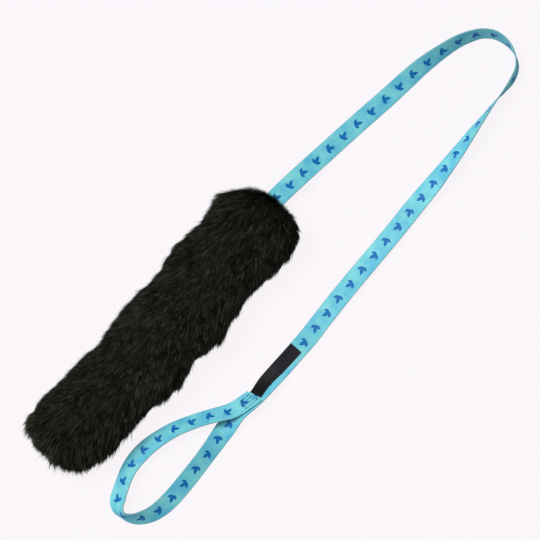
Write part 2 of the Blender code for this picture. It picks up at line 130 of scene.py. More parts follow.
strap = {
    "width": 20.0 * mm,
    "thick": 1.5 * mm,
    "floorGap": 0.2 * mm,
    "layer": 1.8 * mm,             # from one layer's middle to the next where it is sewn
    "exit": (0.173, 0.0075, 0.019),
    "hingeStep": 1.0 * mm,         # from the exit to the hinge, and from a hinge to the strap's end
    "loopHinge": (-86.0, -121.0),
    "step": 2.0 * mm,              # between two rings
    "coreFrom": -0.158,            # the strap's end inside the tail, along X
    "mouthFrom": 0.150,            # the blended piece at the mouth, along X
    "mouthTo": 0.200,
    "flexFrom": 0.0985,            # the blended piece above the label, along X
    "flexTo": 0.0765,
}

leadRoute = (  # x and y in millimetres from the exit, roll in degrees, share of the height
    (8, 0, 0, 0.99), (20, -0.6, 0, 0.92), (35, -1.6, 1, 0.74), (52, -2.9, 3, 0.45),
    (68, -4.2, 5, 0.20), (84, -5.5, 7, 0.05), (100, -6.8, 8, 0), (127, -9.3, 9, 0),
    (157, -12.2, 12, 0), (182, -14.2, 19, 0), (202, -15.9, 29, 0), (218, -18.5, 38, 0),
    (233, -21.7, 46, 0), (246, -25.2, 51, 0), (260, -31.3, 57, 0), (271, -38.6, 63, 0),
    (278.5, -49, 68, 0), (281, -62, 78, 0), (278.5, -76, 91, 0), (270, -87.5, 101, 0),
    (257, -93, 105, 0), (243, -94.7, 97, 0), (232, -95.2, 90, 0), (212, -97.3, 80, 0),
    (190, -99.7, 66, 0), (169, -102.4, 54, 0), (146, -104.7, 41, 0), (124, -106.7, 27, 0),
    (95, -108.4, 14, 0), (64, -110.8, 15, 0), (35, -112.5, 15, 0), (5, -114.1, 13, 0),
    (-25, -116, 11, 0), (-55, -118.6, 7, 0), (-76, -120.6, 1, 0),
)

loopRoute = (  # the same, with a lift in millimetres in place of the share
    (-94, -121.2, 0, 1.2), (-104, -121.5, 1, 0.7), (-116, -121.9, 6, 0.4), (-130, -122.5, 21, 0.3),
    (-145, -123.1, 30, 0.3), (-158, -123.3, 35, 0.5), (-170, -121.8, 34, 0.7), (-181, -120.7, 31, 0.6),
    (-196, -121.9, 14, 0.3), (-209, -123.3, -8, 0.2), (-224, -125.4, -21, 0), (-243, -127.6, -25, 0),
    (-267, -129.7, -22, 0), (-291, -130.8, -23, 0), (-306, -129.8, -29, 0), (-318.5, -126.3, -38, 0),
    (-326.5, -121.8, -46, 0), (-332, -117, -55, 0), (-335.6, -111.6, -64, 0), (-337.4, -105.4, -70, 0),
    (-336.8, -101.8, -62, 0), (-335.2, -98.3, -50, 0), (-332, -93.8, -38, 0), (-324.5, -88.9, -39, 0),
    (-315.5, -84.9, -40, 0), (-301, -79.3, -38, 0), (-285.5, -76.9, -31, 0), (-270, -77.3, -31, 0),
    (-254, -80.2, -37, 0), (-238, -84.9, -41, 0), (-223.5, -91.4, -44, 0), (-208.7, -99.3, -45, 0),
    (-195, -107.8, -43, 0.3), (-184, -114.5, -37, 0.4),
)

sewn = {  # distances along the loop strap from its hinge, and across it
    "labelStart": 6.5 * mm,
    "labelLength": 63.5 * mm,
    "labelWidth": 14.2 * mm,
    "labelThick": 0.6 * mm,
    "labelGap": 0.3 * mm,          # it stands this far off the strap
    "labelSide": 2.5 * mm,
    "labelHem": 1.8 * mm,          # from each end to its stitches
    "labelSkew": 0.05,
    "labelSway": 1.3 * mm,         # it is sewn on a little bent, most of all this far down it
    "swayAt": 44.0 * mm,
    "hemFold": 3.6 * mm,           # the edge that is turned in under it: place, reach and height
    "hemReach": 1.2 * mm,
    "hemHeight": 0.10 * mm,
    "seamReach": 0.7 * mm,         # the dent that its stitches pull
    "seamDepth": 0.12 * mm,
    "sag": 0.08 * mm,
    "sagWaves": 5.3,               # half waves from end to end
    "edgeLift": 0.10 * mm,
    "cutEnd": 71.5 * mm,
    "overlap": 16.5 * mm,
    "overlapPoints": 5,            # of the route, where the end is laid back on the strap
    "underPoints": 12,             # of the route, as far as it lies under that end
    "sideAtCut": 1.2 * mm,
    "sideAtFold": 2.8 * mm,
    "cutSkew": 0.32,               # how far the cut end leans, as a share of the width
    "skewReach": 12.0 * mm,
    "tackFrom": -4.1 * mm,         # the lines of stitches that close the loop, across the strap
    "tackPitch": 3.67 * mm,
    "tackLines": 4,
    "tackStart": 72.8 * mm,        # and along it
    "tackEnd": 87.0 * mm,
    "tackDent": 0.75 * mm,         # reach of the dent along each line
    "pucker": 0.3 * mm,            # its depth, and the share of it that swells up between
    "swell": 0.75,
    "facePoints": 25,              # across the strap, enough for the dents to show
}


def smoothRoute(points, step):  # rows of x, y, z, roll, and the way it runs, along one curve
    rows = np.array(points, float)
    spans = np.linalg.norm(np.diff(rows[:, :3], axis=0), axis=1)
    rates = np.diff(rows, axis=0) / spans[:, None]
    before = np.maximum(np.arange(len(rows)) - 1, 0)
    after = np.minimum(np.arange(len(rows)), len(rates) - 1)
    weight = (spans[before] / (spans[before] + spans[after]))[:, None]
    slopes = rates[before] * (1 - weight) + rates[after] * weight
    found = []
    for i, span in enumerate(spans):
        u = np.arange(max(1, round(span / step)))[:, None] / max(1, round(span / step))
        found.append(
            (2 * u**3 - 3 * u**2 + 1) * rows[i] + (u**3 - 2 * u**2 + u) * span * slopes[i]
            + (3 * u**2 - 2 * u**3) * rows[i + 1] + (u**3 - u**2) * span * slopes[i + 1]
        )
    found = np.vstack([*found, rows[-1:]])
    return found, unit(np.gradient(found[:, :3], axis=0))


def strapAxes(ways, rolls):  # across the strap, and out of its printed face
    ways, rolls = np.atleast_2d(ways), np.radians(np.atleast_1d(rolls))[:, None]
    right = unit(np.cross(ways, (0.0, 0.0, 1.0)))
    normals = np.cross(right, ways) * np.cos(rolls) + right * np.sin(rolls)
    return np.cross(ways, normals), normals


def restHeight(roll):  # of the strap's middle, when its lower edge is just over the floor
    turn = math.radians(roll)
    onEdge, onFace = abs(math.sin(turn)) * strap["width"] / 2, abs(math.cos(turn)) * strap["thick"] / 2
    return strap["floorGap"] + onEdge + onFace


def onStrap(rows, ways, run, distance, side, height):
    # A place on the strap and its roll there, both found by the distance along it.
    place = [np.interp(distance, run, rows[:, i]) for i in range(4)]
    way = np.array([np.interp(distance, run, ways[:, i]) for i in range(3)])
    across, normal = strapAxes(way / np.linalg.norm(way), place[3])
    return np.array(place[:3]) + across[0] * side + normal[0] * height, place[3]


def runOf(rows):  # the distance along a row of points
    return np.concatenate([[0.0], np.cumsum(np.linalg.norm(np.diff(rows[:, :3], axis=0), axis=1))])


def leadStations():
    x0, y0, z0 = strap["exit"]
    points = [(x0 + strap["hingeStep"], y0, z0, 0.0)]
    for x, y, roll, share in leadRoute:
        low = restHeight(roll)
        points.append((x0 + x * mm, y0 + y * mm, low + (z0 - low) * share, roll))
    x, y = strap["loopHinge"]
    points.append((x0 + x * mm + strap["hingeStep"], y0 + y * mm, restHeight(0), 0.0))
    return smoothRoute(points, strap["step"])


def loopStations():
    x0, y0, _ = strap["exit"]
    x, y = strap["loopHinge"]
    points = [(x0 + x * mm, y0 + y * mm, restHeight(0), 0.0)]
    for x, y, roll, lift in loopRoute:
        points.append((x0 + x * mm, y0 + y * mm, restHeight(roll) + lift * mm, roll))
    rows, ways = smoothRoute(points[:sewn["underPoints"]], strap["step"] / 2)
    run = runOf(rows)
    for share in np.linspace(0, 1, sewn["overlapPoints"]):
        distance = sewn["cutEnd"] + sewn["overlap"] * (1 - share)
        side = sewn["sideAtFold"] + (sewn["sideAtCut"] - sewn["sideAtFold"]) * share
        place, roll = onStrap(rows, ways, run, distance, side, strap["layer"])
        points.append((*place, -roll))
    return smoothRoute(points, strap["step"])


layout = {  # of the UV map laid out in rows, in shares of the map and of a row
    "from": 0.01,
    "length": 0.98,
    "rowFrom": 0.03,
    "rowHeight": 0.94,
    "ends": 0.001,                 # the closed ends lie in its corner
}


def tubeMesh(name, grid, along, across):
    # Skin over rings of points, closed at both ends. One UV map holds metres along and across,
    # the other is laid out in rows, so that a texture baked to it keeps the pattern sharp.
    count, size = grid.shape[:2]
    i, k = np.meshgrid(np.arange(count - 1), np.arange(size), indexing="ij")
    a, b = i * size + k, i * size + (k + 1) % size
    quads = np.stack([a, b, b + size, a + size], -1).reshape(-1, 4)
    flat = grid.reshape(-1, 3)
    corners = flat[quads]
    volume = np.einsum("ij,ij->i", corners[:, 0], np.cross(corners[:, 1], corners[:, 2])).sum()
    volume += np.einsum("ij,ij->i", corners[:, 0], np.cross(corners[:, 2], corners[:, 3])).sum()
    ends = [list(range(size))[::-1], list(range((count - 1) * size, count * size))]
    if volume < 0:
        quads, ends = quads[:, ::-1], [end[::-1] for end in ends]
    mesh = bpy.data.meshes.new(name)
    mesh.from_pydata(flat.tolist(), [], quads.tolist() + ends)
    vertex = np.empty(len(mesh.loops), np.int32)
    mesh.loops.foreach_get("vertex_index", vertex)
    ring, place = vertex // size, vertex % size
    metres = mesh.uv_layers.new(name="strapMetres")
    metres.uv.foreach_set("vector", np.stack([along[ring], across[place]], 1).astype(np.float32).ravel())
    steps = np.linalg.norm(np.diff(np.vstack([grid[0], grid[0, :1]]), axis=0), axis=1)
    around = np.concatenate([[0.0], np.cumsum(steps)]) / steps.sum()
    rowCount = max(1, round(math.sqrt((along[-1] - along[0]) / steps.sum())))
    perRow = math.ceil((count - 1) / rowCount)
    quadLoops = len(quads) * 4
    first = np.repeat(quads.min(1) // size, 4)
    last = np.repeat((quads % size == 0).any(1) & (quads % size == size - 1).any(1), 4)
    row = first // perRow
    x = (ring[:quadLoops] - row * perRow) / perRow
    y = np.where(last & (place[:quadLoops] == 0), 1.0, around[place[:quadLoops]])
    baked = np.full((len(vertex), 2), layout["ends"])
    baked[:quadLoops, 0] = layout["from"] + layout["length"] * x
    baked[:quadLoops, 1] = (row + layout["rowFrom"] + layout["rowHeight"] * y) / rowCount
    layer = mesh.uv_layers.new(name="OFBake")
    layer.uv.foreach_set("vector", baked.astype(np.float32).ravel())
    mesh.shade_smooth()
    mesh.set_sharp_from_angle(angle=math.radians(50))
    piece = bpy.data.objects.new(name, mesh)
    bpy.context.scene.collection.objects.link(piece)
    return piece


def bandSection(width, thick, spread=9):
    # The webbing's section: flat faces, and edges as round as the webbing is thick.
    half, flat = thick / 2, width / 2 - thick / 2
    top = [(y, half) for y in np.linspace(flat, -flat, spread)]
    turn = [math.radians(angle) for angle in (30, 60, 90, 120, 150)]
    left = [(-flat - half * math.sin(a), half * math.cos(a)) for a in turn]
    section = top + left
    return np.array(section + [(-y, -z) for y, z in section])


def makeBand(name, rows, ways, start, width, thick, material, skew=0.0, lift=None, spread=9):
    section = bandSection(width, thick, spread)
    across, normals = strapAxes(ways, rows[:, 3])
    run = runOf(rows)
    sides, heights = section[None, :, :1], section[None, :, 1:]
    grid = rows[:, None, :3] + across[:, None] * sides + normals[:, None] * heights
    if skew:  # the cut end leans
        share = np.clip(1 - (run[-1] - run) / sewn["skewReach"], 0, 1)[:, None, None] ** 2
        grid += ways[:, None] * sides * skew * share
    if lift is not None:
        grid += normals[:, None] * lift[:, :, None]
    piece = tubeMesh(name, grid, start + run, section[:, 0])
    piece.data.materials.append(material)
    return piece, run


# ---- materials

webbing = {
    "aqua": "#60BCD6",
    "aquaShift": "#86D9DA",        # the ground is dyed unevenly, from sky blue to green-blue
    "patchScale": 60.0,            # how fine these patches are, and how soft
    "patchRange": (0.35, 0.65),
    # a painted shade in the grooves between the yarns
    "grooveShade": "#4CB2C6",
    "grooveShadeShare": 0.35,           # how much the grooves take of that colour, a painted shade
    "print": "#0067AC",
    "selvedge": "#6FA9AE",
    "selvedgeFrom": 9.3 * mm,      # from the middle of the strap
    "selvedgeFull": 9.7 * mm,
    "plain": "#1B1B1D",
    "plainGrooveShade": "#0B0B0C",
    "rib": 1.25 * mm,              # 16 ribs of yarn in a 20 mm strap
    "pick": 1.6 * mm,
    "motifPitch": 19.0 * mm,
    "motifSize": 1.06,             # of the sprig, which is drawn in the millimetres below
    "motifStart": 0.0 * mm,        # how far the print has run where the strap leaves the wool
    "tilt": 24.0,                  # degrees, every other motif the other way
    "middleLeaf": (0.9, 4.3, 1.8),   # its middle, half its length, half its width
    "sideLeaf": (3.1, 2.9, 1.5),   # the same for the side leaves, from the stem
    "stem": 3.6,                   # from the motif's middle back to where the side leaves start
    "leafTurn": 0.9,               # radians, to each side
    "fray": 0.3,                   # how far the ink's edge wanders, and how finely
    "frayScale": 1400.0,
    "inkEdge": (0.05, 0.3),        # from bare to full ink
}


def leafSteps(result, along, aside, leaf):  # above zero inside a leaf with two points
    middle, length, width = leaf
    return (
        ("reach", "MULTIPLY_ADD", along, 1 / length, -middle / length),
        ("reach", "MULTIPLY", "reach", "reach"),
        (result, "MULTIPLY_ADD", "reach", -width, width),
        (result, "SUBTRACT", result, aside),
    )


def makeWebbingMaterial(name, printed):
    # Polyester webbing, woven and dye-printed: soft, with a low sheen, ribs of slanting
    # yarns along it, painted shade in the grooves between them, a tighter selvedge, and a print that sinks
    # into the yarns.
    s = webbing
    material, tree, shader = newMaterial(name, 0.5, IOR=1.5, Specular_IOR_Level=0.2)
    place = addNode(tree, "ShaderNodeUVMap", uv_map="strapMetres")
    split = addNode(tree, "ShaderNodeSeparateXYZ", {0: place.outputs[0]})
    values = {"along": split.outputs[0], "across": split.outputs[1]}
    runSteps(tree, values, (
        ("ribs", "DIVIDE", "across", s["rib"]),
        ("ribNumber", "FLOOR", "ribs"),
        ("ribPlace", "SUBTRACT", "ribs", "ribNumber"),
        ("ribPlace", "SUBTRACT", "ribPlace", 0.5),
        ("odd", "FLOORED_MODULO", "ribNumber", 2.0),
        ("lean", "MULTIPLY_ADD", "odd", 2.0, -1.0),
        ("slant", "MULTIPLY", "ribPlace", "lean"),
        ("picks", "DIVIDE", "along", s["pick"]),
        ("pick", "ADD", "picks", "slant"),
        ("turn", "MULTIPLY", "pick", math.pi),
        ("yarn", "SINE", "turn"),
        ("yarn", "ABSOLUTE", "yarn"),
        ("yarn", "POWER", "yarn", 0.5),
        ("ribTurn", "MULTIPLY", "ribPlace", math.pi),
        ("crown", "COSINE", "ribTurn"),
        ("height", "MULTIPLY", "yarn", "crown"),
        # painted shade: the grooves between the yarns are darker
        ("grooveShade", "SUBTRACT", 1.0, "height"),
        ("grooveShade", "MULTIPLY", "grooveShade", s["grooveShadeShare"]),
        ("edge", "ABSOLUTE", "across"),
    ))
    selvedge = addNode(tree, "ShaderNodeMapRange", {
        0: values["edge"], 1: s["selvedgeFrom"], 2: s["selvedgeFull"],
    }).outputs[0]
    if printed:
        tilt, drawn, leafTurn = math.radians(s["tilt"]), mm * s["motifSize"], s["leafTurn"]
        patch = addNode(tree, "ShaderNodeTexNoise", {
            "Vector": place.outputs[0], "Scale": s["patchScale"], "Detail": 2.0,
        })
        patch = addNode(tree, "ShaderNodeMapRange", {
            0: patch.outputs[0], 1: s["patchRange"][0], 2: s["patchRange"][1],
        })
        base = blendColours(tree, patch.outputs[0], s["aqua"], s["aquaShift"])
        base = blendColours(tree, values["grooveShade"], base, s["grooveShade"])
        fray = addNode(tree, "ShaderNodeTexNoise", {"Vector": place.outputs[0], "Scale": s["frayScale"]})
        values["fray"] = fray.outputs[0]
        runSteps(tree, values, (
            # Which motif this is, and the place from its middle, turned alternate ways.
            ("cells", "DIVIDE", "along", s["motifPitch"]),
            ("cellNumber", "FLOOR", "cells"),
            ("x", "SUBTRACT", "cells", "cellNumber"),
            ("x", "MULTIPLY_ADD", "x", s["motifPitch"] / drawn, -s["motifPitch"] / drawn / 2),
            ("odd", "FLOORED_MODULO", "cellNumber", 2.0),
            ("side", "MULTIPLY_ADD", "odd", 2.0 / drawn, -1.0 / drawn),
            ("y", "MULTIPLY", "across", "side"),
            ("xCos", "MULTIPLY", "x", math.cos(tilt)),
            ("px", "MULTIPLY_ADD", "y", math.sin(tilt), "xCos"),
            ("xSin", "MULTIPLY", "x", -math.sin(tilt)),
            ("py", "MULTIPLY_ADD", "y", math.cos(tilt), "xSin"),
            ("py", "ABSOLUTE", "py"),
            *leafSteps("middle", "px", "py", s["middleLeaf"]),
            # One sum gives both side leaves, since py is the same on both sides.
            ("fromStem", "ADD", "px", s["stem"]),
            ("leafCos", "MULTIPLY", "fromStem", math.cos(leafTurn)),
            ("leafX", "MULTIPLY_ADD", "py", math.sin(leafTurn), "leafCos"),
            ("leafSin", "MULTIPLY", "fromStem", -math.sin(leafTurn)),
            ("leafY", "MULTIPLY_ADD", "py", math.cos(leafTurn), "leafSin"),
            ("leafY", "ABSOLUTE", "leafY"),
            *leafSteps("leaf", "leafX", "leafY", s["sideLeaf"]),
            ("motif", "MAXIMUM", "middle", "leaf"),
            ("motif", "MULTIPLY_ADD", "fray", s["fray"], "motif"),
        ))
        ink = addNode(tree, "ShaderNodeMapRange", {
            0: values["motif"], 1: s["inkEdge"][0], 2: s["inkEdge"][1],
        })
        base = blendColours(tree, ink.outputs[0], base, s["print"])
        base = blendColours(tree, selvedge, base, s["selvedge"])
    else:
        # painted shade in the grooves of the plain webbing
        base = blendColours(tree, values["grooveShade"], s["plain"], s["plainGrooveShade"])
    tree.links.new(base, shader.inputs["Base Color"])
    bump = addNode(tree, "ShaderNodeBump", {
        "Strength": 0.55, "Distance": 0.18 * mm, "Height": values["height"],
    })
    tree.links.new(bump.outputs[0], shader.inputs["Normal"])
    return material


satin = {
    "paintedSheen": "#232129",            # its upper end, a painted sheen, mottled with the next
    "mottle": "#302D37",
    "dark": "#0A0C0A",             # its lower end, out of the painted sheen
    "gapShade": "#0A0A0C",              # painted shade between two lines of thread
    "pick": 0.35 * mm,
    "end": 0.5 * mm,
}


def makeSatinMaterial():
    # Woven polyester satin, as labels are: a tight weave with long floats, so it is smooth, a little shiny,
    # with painted shade in the fine lines across it, and a painted sheen lightening its upper end, where it
    # bends.
    material, tree, shader = newMaterial("black_satin_label", 0.45, IOR=1.5, Specular_IOR_Level=0.07)
    place = addNode(tree, "ShaderNodeUVMap", uv_map="strapMetres")
    split = addNode(tree, "ShaderNodeSeparateXYZ", {0: place.outputs[0]})
    values = runSteps(tree, {"along": split.outputs[0], "across": split.outputs[1]}, (
        ("picks", "MULTIPLY", "along", math.pi / satin["pick"]),
        ("ends", "MULTIPLY", "across", math.pi / satin["end"]),
        ("mixed", "MULTIPLY_ADD", "ends", 0.5, "picks"),
        ("line", "SINE", "mixed"),
        ("line", "ABSOLUTE", "line"),
        ("down", "DIVIDE", "along", sewn["labelLength"]),
    ))
    # painted sheen: the label's upper end is painted lighter and mottled, darkening along it to its lower end
    sheenMottle = addNode(tree, "ShaderNodeTexNoise", {"Vector": place.outputs[0], "Scale": 160.0, "Detail": 3.0})
    base = blendColours(tree, sheenMottle.outputs[0], satin["paintedSheen"], satin["mottle"])
    base = blendColours(tree, values["down"], base, satin["dark"])
    # painted shade in the gaps between the lines of thread
    base = blendColours(tree, values["line"], satin["gapShade"], base)
    tree.links.new(base, shader.inputs["Base Color"])
    bump = addNode(tree, "ShaderNodeBump", {"Strength": 0.3, "Distance": 0.06 * mm, "Height": values["line"]})
    tree.links.new(bump.outputs[0], shader.inputs["Normal"])
    return material


threadColours = {  # two shades that the twist runs between
    "teal": ("#003A50", "#044C62"),
    "black": ("#0B0B0C", "#18181A"),
}


def makeThreadMaterial(name, colour, shade):
    # Bonded polyester sewing thread: two plies twisted together, smooth, with a soft gloss.
    material, tree, shader = newMaterial(name, 0.45, IOR=1.5)
    place = addNode(tree, "ShaderNodeTexCoord")
    twist = addNode(tree, "ShaderNodeTexNoise", {
        "Vector": place.outputs["Object"], "Scale": 1600.0, "Detail": 1.0,
    })
    base = blendColours(tree, twist.outputs[0], colour, shade)
    tree.links.new(base, shader.inputs["Base Color"])
    bump = addNode(tree, "ShaderNodeBump", {
        "Strength": 0.4, "Distance": 0.05 * mm, "Height": twist.outputs[0],
    })
    tree.links.new(bump.outputs[0], shader.inputs["Normal"])
    return material


suede = {"dark": "#A98C6B", "light": "#C4AA88"}


def makeSkinMaterial():
    # Tanned sheepskin, flesh side out, buffed to a suede: matt, with a fine short nap.
    material, tree, shader = newMaterial("buffed_suede", 0.85, IOR=1.45, Sheen_Weight=0.2)
    place = addNode(tree, "ShaderNodeTexCoord")
    patch = addNode(tree, "ShaderNodeTexNoise", {
        "Vector": place.outputs["Object"], "Scale": 60.0, "Detail": 5.0,
    })
    nap = addNode(tree, "ShaderNodeTexNoise", {
        "Vector": place.outputs["Object"], "Scale": 2200.0, "Detail": 2.0,
    })
    base = blendColours(tree, patch.outputs[0], suede["dark"], suede["light"])
    tree.links.new(base, shader.inputs["Base Color"])
    bump = addNode(tree, "ShaderNodeBump", {"Strength": 0.4, "Distance": 0.2 * mm, "Height": nap.outputs[0]})
    tree.links.new(bump.outputs[0], shader.inputs["Normal"])
    return material


wool = {
    # painted shade at the roots
    "rootShade": "#030302",
    "dark": "#020201",
    "light": "#5F6250",
    "tip": "#606355",
    "crimp": 4.5 * mm,             # from one wave of a fibre to the next
    "strands": 168000,
    "pieces": 7,
    "tufts": 320,                  # wide tufts, and the small locks that they part into
    "clumps": 60000,
    "long": 0.14,                  # share of the small locks that reach past the rest, and how far
    "longer": 0.35,
    "loose": 0.3,                  # share of strands that stray from their lock
    "length": 15.0 * mm,
    "lengthRange": (0.62, 1.12),   # shares of the length, for strands and for small locks
    "clumpRange": (0.8, 1.2),
    "underShorter": 0.45,          # how much shorter they are underneath
    "width": 0.46 * mm,            # a lock of fibres, not one fibre, which wouldn't show
    "widthRange": (0.5, 1.7),
    "taper": 2.2,
    "seed": 11,
}


def makeWoolMaterial(name):
    # Black-dyed sheep's wool: matt fibres, some faintly brown-olive, with painted highlights on
    # the crests of the crimp and painted shade at the root. The map holds a shade per strand and the way
    # along it.
    material, tree, shader = newMaterial(name, 0.6, IOR=1.5, Specular_IOR_Level=0.035)
    place = addNode(tree, "ShaderNodeUVMap", uv_map="OFBake")
    split = addNode(tree, "ShaderNodeSeparateXYZ", {0: place.outputs[0]})
    shade = blendColours(tree, split.outputs[0], wool["dark"], wool["light"])
    values = runSteps(tree, {"along": split.outputs[1], "tone": split.outputs[0]}, (
        # painted shade darkening each strand towards its root
        ("litShare", "POWER", "along", 0.7),
        ("toTip", "POWER", "along", 4.0),
        ("toTip", "MULTIPLY", "toTip", "tone"),
        ("toTip", "MULTIPLY", "toTip", 0.5),
        # The crimp: a painted highlight, as only the crests of a waving fibre catch the light.
        ("wave", "MULTIPLY", "tone", 25.0),
        ("wave", "MULTIPLY_ADD", "along", 2 * math.pi * wool["length"] / wool["crimp"], "wave"),
        ("wave", "SINE", "wave"),
        ("crestHighlight", "MULTIPLY_ADD", "wave", 0.3, 0.7),
        ("litShare", "MULTIPLY", "litShare", "crestHighlight"),
    ))
    base = blendColours(tree, values["litShare"], wool["rootShade"], shade)
    base = blendColours(tree, values["toTip"], base, wool["tip"])
    tree.links.new(base, shader.inputs["Base Color"])
    return material


# ---- the strap

def makeStraps(printed, plain):
    s = strap
    x0, y0, z0 = s["exit"]
    lead, leadWays = leadStations()
    loop, loopWays = loopStations()
    mouthCut = int(np.argmax(lead[:, 0] > s["mouthTo"]))
    flexCut = len(lead) - 1 - int(np.argmax(lead[::-1, 0] > s["flexFrom"]))
    loopCut = int(np.argmax(loop[:, 0] < s["flexTo"]))

    inside = np.array([(x, y0, z0, 0.0) for x in np.arange(s["mouthFrom"], x0, s["step"])])
    rows = np.vstack([inside, lead[:mouthCut + 1]])
    ways = np.vstack([np.tile((1.0, 0.0, 0.0), (len(inside), 1)), leadWays[:mouthCut + 1]])
    start = webbing["motifStart"]
    mouth, run = makeBand("strap_at_mouth", rows, ways, start, s["width"], s["thick"], printed)
    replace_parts(mouth, "lead_webbing", "core_webbing")
    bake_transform(mouth)
    start += run[-1]

    rows, ways = lead[mouthCut:flexCut + 1], leadWays[mouthCut:flexCut + 1]
    main, run = makeBand("lead_strap", rows, ways, start, s["width"], s["thick"], printed)
    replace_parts(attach(main, "lead"), "lead_webbing")
    start += run[-1]

    rows = np.vstack([lead[flexCut:], loop[:loopCut + 1]])
    ways = np.vstack([leadWays[flexCut:], loopWays[:loopCut + 1]])
    flex, run = makeBand("strap_above_label", rows, ways, start, s["width"], s["thick"], printed)
    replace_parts(flex, "lead_webbing", "hand_loop_webbing")
    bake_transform(flex)
    start += run[-1]

    # The stitches pull the end of the strap down along their lines, and it swells between them.
    rows, ways = loop[loopCut:], loopWays[loopCut:]
    fromCut = runOf(rows)[-1] - runOf(rows)
    section = bandSection(s["width"], s["thick"], sewn["facePoints"])
    side = np.interp(fromCut, (0, sewn["overlap"]), (sewn["sideAtCut"], sewn["sideAtFold"]))
    lines = sewn["tackFrom"] + sewn["tackPitch"] * np.arange(sewn["tackLines"])
    places = side[:, None] - section[None, :, 0]
    dents = hump(places[:, :, None], lines, sewn["tackDent"]).sum(2)
    held = np.clip(fromCut / mm, 0, 1) * np.clip((sewn["overlap"] + 1 * mm - fromCut) / (3 * mm), 0, 1)
    lift = sewn["pucker"] * (sewn["swell"] - dents) * held[:, None]
    loopPiece, run = makeBand(
        "hand_loop_strap", rows, ways, start, s["width"], s["thick"], printed,
        sewn["cutSkew"], lift, sewn["facePoints"],
    )
    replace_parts(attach(loopPiece, "hand_loop"), "hand_loop_webbing")

    rows = np.array([(x, y0, z0, 0.0) for x in np.arange(s["coreFrom"], s["mouthFrom"], 2 * s["step"])])
    ways = np.tile((1.0, 0.0, 0.0), (len(rows), 1))
    core, _ = makeBand("core_strap", rows, ways, 0.0, s["width"], s["thick"], plain)
    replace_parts(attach(core, "tug"), "core_webbing")
    print(f"strap made, printed over {start + run[-1]:.4f} m")
    return loop, loopWays


def makeLabel(loop, loopWays, material):
    s = sewn
    run = runOf(loop)
    rows = []
    height = strap["thick"] / 2 + s["labelGap"] + s["labelThick"] / 2
    shares = np.linspace(0, 1, 61)
    for share in shares:
        distance = s["labelStart"] + s["labelLength"] * share
        up = share * s["labelLength"] / s["swayAt"]
        down = (1 - share) * s["labelLength"] / (s["labelLength"] - s["swayAt"])
        sway = s["labelSway"] * min(1, up) ** 2 * (1.7 * math.sin(min(1, down) * math.pi / 2) - 0.7)
        place, roll = onStrap(loop, loopWays, run, distance, s["labelSide"] + sway, height)
        rows.append((*place, roll))
    rows = np.array(rows)
    ways = unit(np.gradient(rows[:, :3], axis=0))
    section = bandSection(s["labelWidth"], s["labelThick"])
    toEnd = np.minimum(shares, 1 - shares) * s["labelLength"]
    hem = hump(toEnd, s["hemFold"], s["hemReach"]) * s["hemHeight"]
    hem -= hump(toEnd, s["labelHem"], s["seamReach"]) * s["seamDepth"]
    sag = np.sin(shares * math.pi * s["sagWaves"] + 0.7) * s["sag"] * np.minimum(1, toEnd / (8 * mm))
    edge = (np.abs(section[:, 0]) / (s["labelWidth"] / 2)) ** 6
    lift = hem[:, None] + sag[:, None] * (1 + edge[None, :]) + edge[None, :] * s["edgeLift"]
    label, _ = makeBand(
        "bare_label", rows, ways, 0.0, s["labelWidth"], s["labelThick"], material, s["labelSkew"], lift
    )
    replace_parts(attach(label, "hand_loop"), "woven_label")
    print("label made, bare")


# ---- the skin, folded lengthways round the strap, wool side out

hide = {
    "tail": -160.0 * mm,
    "mouth": 169.0 * mm,
    "height": 19.0 * mm,
    "thick": 2.0 * mm,
    "openEdge": -22.8 * mm,
    "slope": (-8.8 * mm, -4.3 * mm),   # where the two layers part, to go round the strap
    "gaps": (0.15 * mm, 1.05 * mm),    # half the space between them, each side of the slope
    "fold": 19.3 * mm,
    "corner": 6.0 * mm,
}


def hideGap(y):
    return np.interp(y, hide["slope"], hide["gaps"])


def makeHide(material):
    s = hide
    near = np.array([0, 0.3, 1.0, 2.0, 3.5, 6.0]) * mm
    between = np.linspace(s["tail"] + 9 * mm, s["mouth"] - 9 * mm, 90)
    x = np.concatenate([s["tail"] + near, between, s["mouth"] - near[::-1]])
    toEnd = np.minimum(x - x[0], x[-1] - x)
    inset = s["corner"] - np.sqrt(s["corner"] ** 2 - np.clip(s["corner"] - toEnd, 0, None) ** 2)
    inset += np.array([noise.noise(Vector((v / (14 * mm), 0, 0))) for v in x]) * 0.5 * mm
    edge = s["openEdge"] + inset
    y = edge[:, None] + (s["fold"] - edge)[:, None] * np.linspace(0, 1, 25)
    inner = hideGap(y)
    nap = np.array([[noise.noise(Vector((a, b, 0)) / (9 * mm)) for b in row] for a, row in zip(x, y)])
    outer = inner + s["thick"] + nap * 0.15 * mm
    bend = np.radians(np.arange(75, -76, -15))
    folds = []  # the outer face round the fold, and the inner face back
    for radius, turn in ((s["gaps"][1] + s["thick"], bend), (s["gaps"][1], bend[::-1])):
        sides = s["fold"] + radius * np.cos(turn), radius * np.sin(turn)
        folds.append([np.tile(v, (len(x), 1)) for v in sides])
    outerBend, innerBend = folds
    across = np.hstack([y, outerBend[0], y[:, ::-1], y, innerBend[0], y[:, ::-1]])
    height = np.hstack([outer, outerBend[1], -outer[:, ::-1], -inner, innerBend[1], inner[:, ::-1]])
    grid = np.stack([np.repeat(x[:, None], across.shape[1], 1), across, height + s["height"]], -1)
    piece = tubeMesh("folded_skin", grid, x - x[0], across[10])
    piece.data.materials.append(material)
    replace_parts(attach(piece, "tug"), "sheepskin_hide")
    print("skin made")


# ---- stitches: lockstitch, with the needle thread above and the bobbin thread below

